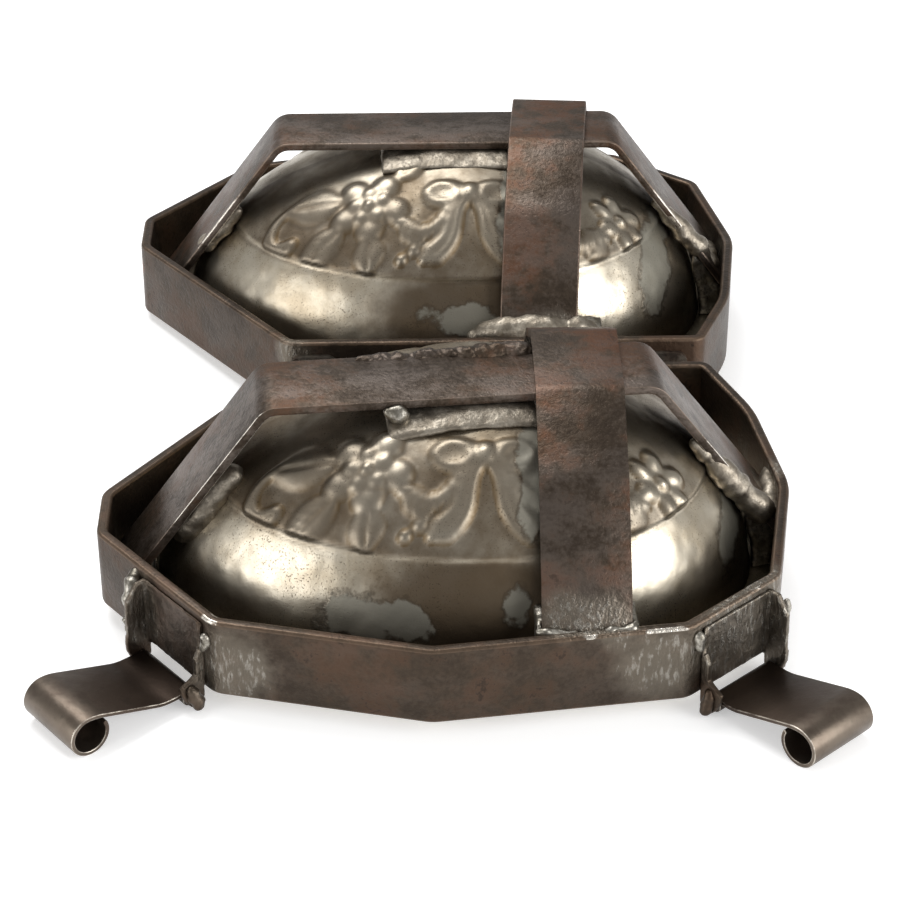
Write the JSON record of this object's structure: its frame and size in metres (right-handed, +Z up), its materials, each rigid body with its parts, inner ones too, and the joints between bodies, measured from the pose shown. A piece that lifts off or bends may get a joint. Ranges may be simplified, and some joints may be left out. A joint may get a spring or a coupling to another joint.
{
  "type": "chocolate egg mould",
  "caption": "Hinged two-part mould for a hollow chocolate egg: half-egg shells of pressed sheet in strap-braced steel frames, laid open, with swing clips that hold the halves shut.",
  "frame": {"origin": "middle of the footprint of the open mould, on the table", "axes": "+X along the hinge axis to the right, +Y from the hinge towards the rear half, +Z up"},
  "size_m": [0.283, 0.3971, 0.0911],
  "materials": {
    "strip_steel": "dark oxidised strip steel, worn bright on its edges",
    "tinned_sheet": "tinned sheet steel, aged to a warm silver",
    "solder": "lumpy soft solder, dull to bright",
    "clip_steel": "thin strip steel, dark at the root and worn at the curl",
    "hinge_steel": "dark steel plate and wire, smeared with solder"
  },
  "bodies": {
    "front_half": {"front_shell": "tinned_sheet", "front_frame": "strip_steel", "front_long_strap": "strip_steel", "front_cross_strap": "strip_steel", "front_crown_solder": "solder", "front_left_end_solder": "solder", "front_right_end_solder": "solder", "front_far_foot_solder": "solder", "front_hinge_foot_solder": "solder", "front_left_hinge_leaf": "hinge_steel", "front_right_hinge_leaf": "hinge_steel", "left_clip_bracket": "hinge_steel", "left_clip_pin": "hinge_steel", "right_clip_bracket": "hinge_steel", "right_clip_pin": "hinge_steel"},
    "rear_half": {"rear_shell": "tinned_sheet", "rear_frame": "strip_steel", "rear_long_strap": "strip_steel", "rear_cross_strap": "strip_steel", "rear_crown_solder": "solder", "rear_left_end_solder": "solder", "rear_right_end_solder": "solder", "rear_far_foot_solder": "solder", "rear_hinge_foot_solder": "solder", "rear_left_hinge_leaf": "hinge_steel", "rear_right_hinge_leaf": "hinge_steel", "left_hinge_pin": "hinge_steel", "right_hinge_pin": "hinge_steel"},
    "left_clip": {"left_clip": "clip_steel"},
    "right_clip": {"right_clip": "clip_steel"}
  },
  "joints": [
    {"name": "main_hinge", "type": "hinge", "parent": "front_half", "child": "rear_half", "pos_m": [0.00509, 0.01032, 0.0065], "axis": [-1, 0, 0], "range_deg": [-26, 177.96]},
    {"name": "left_clip_hinge", "type": "hinge", "parent": "front_half", "child": "left_clip", "pos_m": [-0.0953, -0.14591, 0.0033], "axis": [0.6238, -0.7816, 0], "range_deg": [-75, 105]},
    {"name": "right_clip_hinge", "type": "hinge", "parent": "front_half", "child": "right_clip", "pos_m": [0.10108, -0.15502, 0.0033], "axis": [0.7568, 0.6536, 0], "range_deg": [-75, 105]}
  ]
}
